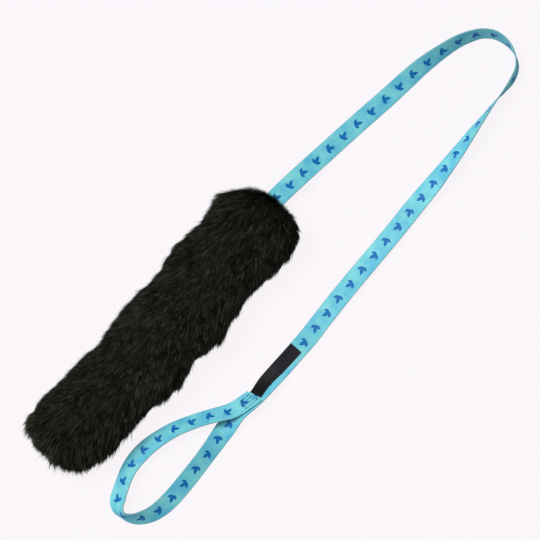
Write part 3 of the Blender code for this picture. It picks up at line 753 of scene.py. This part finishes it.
stitching = {
    "strapThread": 0.6 * mm,
    "tackThread": 1.0 * mm,        # stouter, to hold the pull
    "hideThread": 0.7 * mm,
    "strapStitch": 2.6 * mm,
    "hideStitch": 6.8 * mm,
    "dip": 0.5 * mm,               # how deep a thread goes in at a needle hole
    "stand": 0.42,                 # how far its middle stands off the face, in its thicknesses
    "firstRise": 1.3,              # the tack's first stitches stand higher, its last ones lower
    "lastRise": 0.7,
    "sunk": -0.4,                  # the middle stitches of the tack are pulled into the weave
    "plyTurn": 2.4 * mm,
    "edgeIn": 4.5 * mm,            # the edge seam, in from the open edge, the tail end and the fold
    "tailIn": 4.0 * mm,
    "foldIn": 2.5 * mm,
    "mouthEnd": 0.168,
    "mouthTack": ((157, 0.3), (157, 14.7), (162.5, 14.7), (162.5, 0.3), (168, 0.3), (168, 14.7)),  # in mm
}


def stitchPlaces(corners, stitch):  # first and second place, and the rise from -1 in a hole to 1
    steps = ((0.0, -1.0), (0.08, -0.3), (0.2, 0.7), (0.35, 1.0), (0.65, 1.0), (0.8, 0.7), (0.92, -0.3))
    found = []
    for (a0, b0), (a1, b1) in zip(corners, corners[1:]):
        count = max(1, round(math.hypot(a1 - a0, b1 - b0) / stitch))
        for i in range(count):
            for share, rise in steps:
                t = (i + share) / count
                found.append((a0 + (a1 - a0) * t, b0 + (b1 - b0) * t, rise))
    return found + [(*corners[-1], -1.0)]


def makeThread(node, points, thick, body, material):
    # Two plies, twisted round each other along the thread's way.
    rough = np.array(points)
    run = runOf(rough)
    places = np.linspace(0, run[-1], max(8, round(run[-1] / (0.28 * mm))))
    path = np.stack([np.interp(places, run, rough[:, i]) for i in range(3)], 1)
    for _ in range(2):
        path[1:-1] = (path[:-2] + 2 * path[1:-1] + path[2:]) / 4
    ways = unit(np.gradient(path, axis=0))
    side = np.cross(ways[0], (0.1, 0.2, 1.0))
    sides = []
    for way in ways:
        side = unit(side - way * side.dot(way))
        sides.append(side)
    sides = np.array(sides)
    overs = np.cross(ways, sides)
    turn = places / stitching["plyTurn"] * 2 * math.pi
    around = np.linspace(0, 2 * math.pi, 7, endpoint=False)
    ring = sides[:, None] * np.cos(around)[None, :, None] + overs[:, None] * np.sin(around)[None, :, None]
    for ply, phase in (("a", 0.0), ("b", math.pi)):
        middle = sides * np.cos(turn + phase)[:, None] + overs * np.sin(turn + phase)[:, None]
        grid = (path + middle * thick * 0.22)[:, None] + ring * thick * 0.28
        piece = tubeMesh(f"{node}_ply_{ply}", grid, places, around)
        piece.data.materials.append(material)
        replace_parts(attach(piece, body), node)


def threadReach(thick, rise):  # over the face between the holes, and under it in them
    return thick * stitching["stand"] * rise if rise > 0 else stitching["dip"] * rise


def tackStart(side):  # the stitches start along the slanting cut end
    return sewn["tackStart"] + sewn["cutSkew"] * (side - sewn["sideAtCut"])


def makeSeams(loop, loopWays, blue, black):
    s, w = stitching, sewn
    run = runOf(loop)
    half = w["labelWidth"] / 2 - w["labelHem"]
    labelTop = strap["thick"] / 2 + w["labelGap"] + w["labelThick"]
    seams = []
    for name, at in (("label_upper", w["labelHem"]), ("label_lower", w["labelLength"] - w["labelHem"])):
        corners = [(w["labelStart"] + at, w["labelSide"] + side) for side in (-half, half)]
        seams.append((name, corners, labelTop, "black_thread", black))
    corners = []
    for line in range(w["tackLines"]):
        side = w["tackFrom"] + line * w["tackPitch"]
        ends = (tackStart(side), w["tackEnd"]) if line % 2 == 0 else (w["tackEnd"], tackStart(side))
        corners += [(end, side) for end in ends]
    seams.append(("loop_tack", corners, strap["thick"] / 2 + strap["layer"], "blue_thread", blue))
    for name, corners, top, slot, material in seams:
        tack = name == "loop_tack"
        thick = s["tackThread"] if tack else s["strapThread"]
        for thread, way, base in (("needle_thread", 1, top), ("bobbin_thread", -1, strap["thick"] / 2)):
            points = []
            for distance, across, rise in stitchPlaces(corners, s["strapStitch"]):
                if tack and rise > 0:
                    first = 0 < distance - tackStart(across) - 0.01 * mm < s["strapStitch"]
                    last = 0 < w["tackEnd"] - 0.01 * mm - distance < s["strapStitch"]
                    rise *= s["firstRise"] if first else s["lastRise"] if last else s["sunk"]
                height = way * (base + threadReach(thick, rise))
                points.append(onStrap(loop, loopWays, run, distance, across, height)[0])
            makeThread(f"{name}_{thread}", points, thick, "hand_loop", material)

    side, tail = hide["openEdge"] + s["edgeIn"], hide["tail"] + s["tailIn"]
    edge = [(s["mouthEnd"], side), (tail, side), (tail, hide["fold"] - s["foldIn"])]
    mouth = [(x * mm, y * mm) for x, y in s["mouthTack"]]
    for name, corners, stitch in (
        ("edge_seam", edge, s["hideStitch"]),
        ("mouth_tack", mouth, s["strapStitch"]),
    ):
        for thread, way in (("needle_thread", 1), ("bobbin_thread", -1)):
            points = []
            for x, y, rise in stitchPlaces(corners, stitch):
                reach = threadReach(s["hideThread"], rise)
                points.append((x, y, hide["height"] + way * (hideGap(y) + hide["thick"] + reach)))
            makeThread(f"{name}_{thread}", points, s["hideThread"], "tug", black)
    print("stitches made")


# ---- the wool: a soft body with thousands of locks rooted on it

fleeceRings = (  # x, left edge and right edge of the dense wool in millimetres, share of its height
    (-164, 20, -14, 0.36), (-161, 29, -19, 0.56), (-156, 34, -25, 0.72), (-148, 35, -32, 0.84),
    (-138, 35, -38, 0.92), (-120, 37, -41, 0.98), (-97, 35, -40, 1.00), (-82, 35, -39, 0.98),
    (-66, 34, -40, 1.00), (-50, 34, -43, 1.02), (-34, 34, -46, 1.04), (-18, 36, -44, 1.01),
    (-3, 38, -41, 0.99), (12, 38, -41, 1.02), (30, 37, -42, 1.01), (48, 36, -43, 0.96),
    (62, 41, -39, 0.99), (74, 45, -37, 1.03), (88, 42, -35, 1.01), (103, 40, -35, 0.99),
    (119, 42, -37, 1.02), (133, 47, -36.5, 1.03), (145, 45, -39, 0.99), (155, 40, -40, 0.92),
    (163, 31, -33, 0.82), (168.5, 21, -23, 0.66), (172.5, 13, -13, 0.44),
)

fleece = {
    "middle": 19.0 * mm,           # height of its widest line
    "up": 20.8 * mm,
    "down": 18.0 * mm,
    "lowest": 1.2 * mm,            # its underside lies flat
    "power": 0.85,
    "rings": 110,
    "points": 72,
    "lumps": 2.2 * mm,
    "lumpSize": 28.0 * mm,
}


def makeFleeceBody(material):
    s = fleece
    table = np.array(fleeceRings, float)
    share = np.linspace(0, 1, s["rings"])
    knots = runOf(table)
    x, left, right, high = [np.interp(share * knots[-1], knots, table[:, i]) for i in range(4)]
    soften = np.ones(7) / 7
    left, right, high = [
        np.concatenate([v[:3], np.convolve(v, soften, "valid"), v[-3:]]) for v in (left, right, high)
    ]
    turn = np.linspace(0, 2 * math.pi, s["points"], endpoint=False)
    across, rise = [np.sign(v) * np.abs(v) ** s["power"] for v in (np.cos(turn), np.sin(turn))]
    y = ((left + right) / 2)[:, None] * mm + across * ((left - right) / 2)[:, None] * mm
    z = s["middle"] + np.where(rise > 0, rise * s["up"], rise * s["down"]) * high[:, None]
    grid = np.stack([np.repeat(x[:, None] * mm, s["points"], 1), y, z], -1)
    centre = grid.mean(1, keepdims=True)
    outward = unit(grid - centre)
    lumps = np.array([[noise.noise(Vector(p) / s["lumpSize"]) for p in ring] for ring in grid])
    grid += outward * (lumps * s["lumps"])[:, :, None]
    grid[:, :, 2] = np.maximum(grid[:, :, 2], s["lowest"])
    body = tubeMesh("wool_body", grid, runOf(centre[:, 0]), turn / (2 * math.pi))
    body.data.materials.append(material)
    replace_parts(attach(body, "tug"), "wool_pile")
    return body


def scatter(body, count, rng):  # roots on the body: places and normals, fewer where it lies
    mesh = body.data
    mesh.calc_loop_triangles()
    corners = np.empty(len(mesh.loop_triangles) * 3, np.int32)
    mesh.loop_triangles.foreach_get("vertices", corners)
    places, normals = np.empty(len(mesh.vertices) * 3), np.empty(len(mesh.vertices) * 3)
    mesh.vertices.foreach_get("co", places)
    mesh.vertices.foreach_get("normal", normals)
    corners, places, normals = corners.reshape(-1, 3), places.reshape(-1, 3), normals.reshape(-1, 3)
    a, b, c = (places[corners[:, i]] for i in range(3))
    crossed = np.cross(b - a, c - a)
    area = np.linalg.norm(crossed, axis=1)
    under = crossed[:, 2] / area < -0.7
    weight = area * np.where(under, 0.3, 1.0)
    picked = rng.choice(len(corners), count, p=weight / weight.sum())
    u, v = rng.random(count), rng.random(count)
    over = u + v > 1
    u[over], v[over] = 1 - u[over], 1 - v[over]
    mixed = [
        sum(values[corners[picked, i]] * part[:, None] for i, part in enumerate((1 - u - v, u, v)))
        for values in (places, normals)
    ]
    return mixed[0], unit(mixed[1])


def swirl(places, size, seed):  # smooth noise at many places, from -1 to 1
    return np.array([noise.noise(Vector(p) / size + Vector((seed, 0, 0))) for p in places])


def placeShares(roots):  # how near each root is to the tail, the nose, the right and the left side
    return (
        np.clip((-120 * mm - roots[:, 0]) / (40 * mm), 0, 1),
        np.clip((roots[:, 0] - 150 * mm) / (22 * mm), 0, 1),
        np.clip(-roots[:, 1] / (40 * mm), 0, 1),
        np.clip(roots[:, 1] / (40 * mm), 0, 1),
    )


def growLocks(roots, normals, lengths, rng, points, stray):
    # Each lock leaves the skin steeply, and lies over towards the tail, to the right and down.
    # Over the strap's exit the wool grows up and back, and below it grows down.
    side = np.clip(roots[:, 1] / (42 * mm), -1, 1)
    tail, _, _, left = placeShares(roots)
    drift = swirl(roots, 45 * mm, 7.3) * 0.22 + rng.normal(0, 0.15, len(roots)) * (1 + 2 * stray)
    out = np.interp(side, (-1, -0.6, 0, 0.6, 1), (-0.6, -0.39, -0.12, -0.02, 0.25))
    out -= 0.9 * tail * np.clip(0.4 - side, 0, 1)
    flatter = 0.5 * left * (1 - stray)  # the left side is brushed smooth
    nose = np.clip(normals[:, 0], 0, 1) * np.clip((roots[:, 2] - 13 * mm) / (6 * mm), -1, 1)
    comb = np.stack([-np.ones(len(roots)), out + drift, -0.2 - 0.3 * np.abs(side) + 1.2 * nose], 1)
    comb = comb - normals * (comb * normals).sum(1)[:, None]
    strength = np.clip(np.linalg.norm(comb, axis=1), 0, 1)
    comb = unit(comb)
    first = np.radians(34 + 20 * flatter + rng.normal(0, 9, len(roots))) * (0.5 + 0.5 * strength)
    last = np.radians(80 + rng.normal(0, 7, len(roots)) * (1 + stray)) * (0.55 + 0.45 * strength)
    share = np.linspace(0, 1, points)
    path = np.zeros((len(roots), points, 3))
    path[:, 0] = roots - normals * 1.0 * mm
    for i in range(1, points):
        t = (share[i] + share[i - 1]) / 2
        angle = (first + (last - first) * t ** 0.7)[:, None]
        way = unit(normals * np.cos(angle) + comb * np.sin(angle))
        path[:, i] = path[:, i - 1] + way * (lengths / (points - 1))[:, None]
    return path


def lockLength(roots):  # longer at the tail, shorter at the nose, and uneven at the edges
    tail, nose, right, left = placeShares(roots)
    uneven = (0.5 * right + 0.35 * left + 0.6 * tail) * swirl(roots, 11 * mm, 5.1)
    return wool["length"] * (1 + 0.1 * tail - 0.3 * nose + uneven)


def makeLocks(body, material):
    s = wool
    rng = np.random.default_rng(s["seed"])
    points = 5
    share = np.linspace(0, 1, points)
    roots, normals = scatter(body, s["strands"], rng)
    stray = (rng.random(s["strands"]) < s["loose"]).astype(float)
    shorter = 1 - s["underShorter"] * np.clip(-normals[:, 2], 0, 1)
    lengths = lockLength(roots) * rng.uniform(*s["lengthRange"], s["strands"]) * shorter
    path = growLocks(roots, normals, lengths, rng, points, stray)
    tone = 0.1 * rng.random(s["strands"]) ** 2 + 0.12 * (swirl(roots, 14 * mm, 2.1) - 0.1)
    tail, _, right, _ = placeShares(roots)
    parted = 0.3 + 0.3 * np.clip(tail + right, 0, 1)  # the wide tufts part most at the tail and the right
    for count, pull, own in ((s["tufts"], parted, 0.04), (s["clumps"], 0.62, 1.0)):
        guideRoots, guideNormals = scatter(body, count, rng)
        toLeft, toMouth = guideRoots[:, 1] / (60 * mm), (guideRoots[:, 0] + 100 * mm) / (90 * mm)
        outer = np.clip(0.35 - toLeft - toMouth, 0.25, 1)  # most at the right and the tail
        reach = 1 + s["longer"] * outer * (rng.random(count) < s["long"])
        guideLengths = lockLength(guideRoots) * rng.uniform(*s["clumpRange"], count) * reach
        guides = growLocks(guideRoots, guideNormals, guideLengths, rng, points, np.zeros(count))
        tree = kdtree.KDTree(count)
        for i, p in enumerate(guideRoots):
            tree.insert(p, i)
        tree.balance()
        nearest = np.array([tree.find(p)[1] for p in roots])
        offset = (roots - guideRoots[nearest])[:, None] * (1 - 0.82 * share)[None, :, None]
        held = (((1 - 0.8 * stray) * pull)[:, None] * share ** 0.9)[:, :, None]
        path = path * (1 - held) + (guides[nearest] + offset) * held
        tone += own * rng.random(count)[nearest] ** 3.6
    tangent = unit(np.gradient(path, axis=1))
    sideways = unit(np.cross(tangent, normals[:, None]))
    phase = rng.random(s["strands"])[:, None] * 2 * math.pi
    wave = np.sin(share[None] * 5.0 + phase) * share[None] * 0.5 * mm
    path += sideways * wave[:, :, None]
    path[:, :, 2] = np.maximum(path[:, :, 2], 0.3 * mm)
    roll = rng.normal(0, 0.6, s["strands"])[:, None, None]
    flat = sideways * np.cos(roll) + unit(np.cross(sideways, tangent)) * np.sin(roll)
    wide = s["width"] / 2 * rng.uniform(*s["widthRange"], s["strands"]) * (1 - 0.3 * stray)
    reach = flat * (wide[:, None] * (1 - share[None] ** s["taper"]))[:, :, None]
    pairs = np.stack([path + reach, path - reach], 2)[:, :-1].reshape(s["strands"], -1, 3)
    vertices = np.concatenate([pairs, path[:, -1:]], 1)
    tone = np.clip(tone, 0.02, 0.98)
    spread = np.array([0.008, -0.008] * (points - 1) + [0.0])
    u = tone[:, None] + spread[None]
    v = np.repeat(np.append(np.repeat(share[:-1], 2), 1.0)[None], s["strands"], 0)
    order = np.argsort(roots[:, 0], kind="stable")
    step = np.arange(points - 2)[:, None] * 2
    quads = np.concatenate([step, step + 1, step + 3, step + 2], 1)
    last = 2 * (points - 2)
    for number, chosen in enumerate(np.array_split(order, s["pieces"])):
        size = vertices.shape[1]
        base = np.arange(len(chosen))[:, None] * size
        sides = (base[:, :, None] + quads[None]).reshape(len(chosen), -1)
        loops = np.concatenate([sides, base + [last, last + 1, last + 2]], 1)
        starts = (np.arange(len(chosen))[:, None] * loops.shape[1] + np.arange(points - 1) * 4).ravel()
        mesh = bpy.data.meshes.new(f"wool_locks_{number + 1}")
        mesh.vertices.add(len(chosen) * size)
        mesh.vertices.foreach_set("co", vertices[chosen].astype(np.float32).ravel())
        mesh.loops.add(loops.size)
        mesh.loops.foreach_set("vertex_index", loops.astype(np.int32).ravel())
        mesh.polygons.add(len(starts))
        mesh.polygons.foreach_set("loop_start", starts.astype(np.int32))
        mesh.update(calc_edges=True)
        layer = mesh.uv_layers.new(name="OFBake")
        up = layout["from"] + layout["length"] * v[chosen].ravel()
        places = np.stack([u[chosen].ravel(), up], 1)[loops.ravel()]
        layer.uv.foreach_set("vector", places.astype(np.float32).ravel())
        mesh.shade_smooth()
        mesh.materials.append(material)
        piece = bpy.data.objects.new(mesh.name, mesh)
        bpy.context.scene.collection.objects.link(piece)
        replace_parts(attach(piece, "tug"), "wool_pile")
    print("wool made,", s["strands"], "locks")


underWool = {
    "dark": "#020202",
    "light": "#0D0D0A",
    "streaks": (180, 900, 900),    # to the metre, along X, Y and Z
}


def makeUnderWoolMaterial():
    # The dense under-wool between the locks: matt, nearly black, with short streaks of fibre.
    material, tree, shader = newMaterial("black_under_wool", 0.9, IOR=1.45, Specular_IOR_Level=0.03)
    place = addNode(tree, "ShaderNodeTexCoord")
    stretch = addNode(tree, "ShaderNodeMapping", {
        "Vector": place.outputs["Object"], "Scale": underWool["streaks"],
    })
    streak = addNode(tree, "ShaderNodeTexNoise", {"Vector": stretch.outputs[0], "Scale": 1.0, "Detail": 3.0})
    base = blendColours(tree, streak.outputs[0], underWool["dark"], underWool["light"])
    tree.links.new(base, shader.inputs["Base Color"])
    bump = addNode(tree, "ShaderNodeBump", {
        "Strength": 0.6, "Distance": 0.5 * mm, "Height": streak.outputs[0],
    })
    tree.links.new(bump.outputs[0], shader.inputs["Normal"])
    return material


# ---- lights, floor and background

studio = {
    "background": "#FEFAFE",
    "paper": "#D0CED2",
    "floorShare": 0.08,            # how much of the floor's look is its own shading
    "floorHalf": 6.0,              # half its side, and how far it lies under the toy
    "floorDrop": 0.0004,
    "world": 0.33,
    "worldTint": "#EEF7FF",
    "sun": 2.7,
    "sunHeight": 57.0,             # degrees over the floor
    "sunTurn": 98.0,               # degrees from +X towards +Y
    "sunSpread": 28.0,             # a broad soft box
}


def paleShare(tree, *steps):  # how much of the plain background colour a ray meets, by its kind
    rays = addNode(tree, "ShaderNodeLightPath").outputs
    values = {"camera": rays["Is Camera Ray"], "transmission": rays["Is Transmission Ray"]}
    values["glossy"] = rays["Is Glossy Ray"]
    return runSteps(tree, values, (("pale", "MAXIMUM", "camera", "transmission"), *steps))["pale"]


def makeStudio():
    s = studio
    world = bpy.data.worlds.new("studio")
    bpy.context.scene.world = world
    world.use_nodes = True
    tree = world.node_tree
    light = tree.nodes["Background"]
    light.inputs[0].default_value, light.inputs[1].default_value = toLinear(s["worldTint"]), s["world"]
    seen = addNode(tree, "ShaderNodeBackground", {0: toLinear(s["background"]), 1: 1.0})
    pale = paleShare(tree, ("pale", "MAXIMUM", "pale", "glossy"))
    mixed = addNode(tree, "ShaderNodeMixShader", {0: pale, 1: light.outputs[0], 2: seen.outputs[0]})
    tree.links.new(mixed.outputs[0], tree.nodes["World Output"].inputs[0])

    floorMesh = bpy.data.meshes.new("floor")
    side = s["floorHalf"]
    corners = [(-side, -side, 0), (side, -side, 0), (side, side, 0), (-side, side, 0)]
    floorMesh.from_pydata(corners, [], [(0, 1, 2, 3)])
    floor = bpy.data.objects.new("floor", floorMesh)
    floor.location = (0.0, 0.0, -s["floorDrop"])
    bpy.context.scene.collection.objects.link(floor)
    material = bpy.data.materials.new("matt_paper_floor")  # seamless studio paper, matt and pale
    material.use_nodes = True
    tree = material.node_tree
    tree.nodes.remove(tree.nodes["Principled BSDF"])
    paper = addNode(tree, "ShaderNodeBsdfDiffuse", {0: toLinear(s["paper"])})
    glow = addNode(tree, "ShaderNodeEmission", {0: toLinear(s["background"]), 1: 1.0})
    pale = paleShare(tree, ("pale", "MULTIPLY", "pale", 1.0 - s["floorShare"]))
    mixed = addNode(tree, "ShaderNodeMixShader", {0: pale, 1: paper.outputs[0], 2: glow.outputs[0]})
    tree.links.new(mixed.outputs[0], tree.nodes["Material Output"].inputs[0])
    floorMesh.materials.append(material)

    lamp = bpy.data.lights.new("soft_key", "SUN")
    lamp.energy, lamp.angle = s["sun"], math.radians(s["sunSpread"])
    key = bpy.data.objects.new("soft_key", lamp)
    turn, rise = math.radians(s["sunTurn"]), math.radians(s["sunHeight"])
    towards = Vector((math.cos(turn) * math.cos(rise), math.sin(turn) * math.cos(rise), math.sin(rise)))
    key.rotation_euler = towards.to_track_quat("Z", "Y").to_euler()
    key.location = towards * 2
    bpy.context.scene.collection.objects.link(key)
    bpy.context.scene.view_settings.view_transform = "Standard"
    print("studio made")


makeCamera()
printedWebbing = makeWebbingMaterial("printed_polyester_webbing", True)
plainWebbing = makeWebbingMaterial("plain_polyester_webbing", False)
loop, loopWays = makeStraps(printedWebbing, plainWebbing)
makeLabel(loop, loopWays, makeSatinMaterial())
makeHide(makeSkinMaterial())
makeSeams(
    loop, loopWays,
    makeThreadMaterial("dark_teal_polyester_thread", *threadColours["teal"]),
    makeThreadMaterial("black_polyester_thread", *threadColours["black"]),
)
body = makeFleeceBody(makeUnderWoolMaterial())
makeLocks(body, makeWoolMaterial("black_sheep_wool"))
makeStudio()
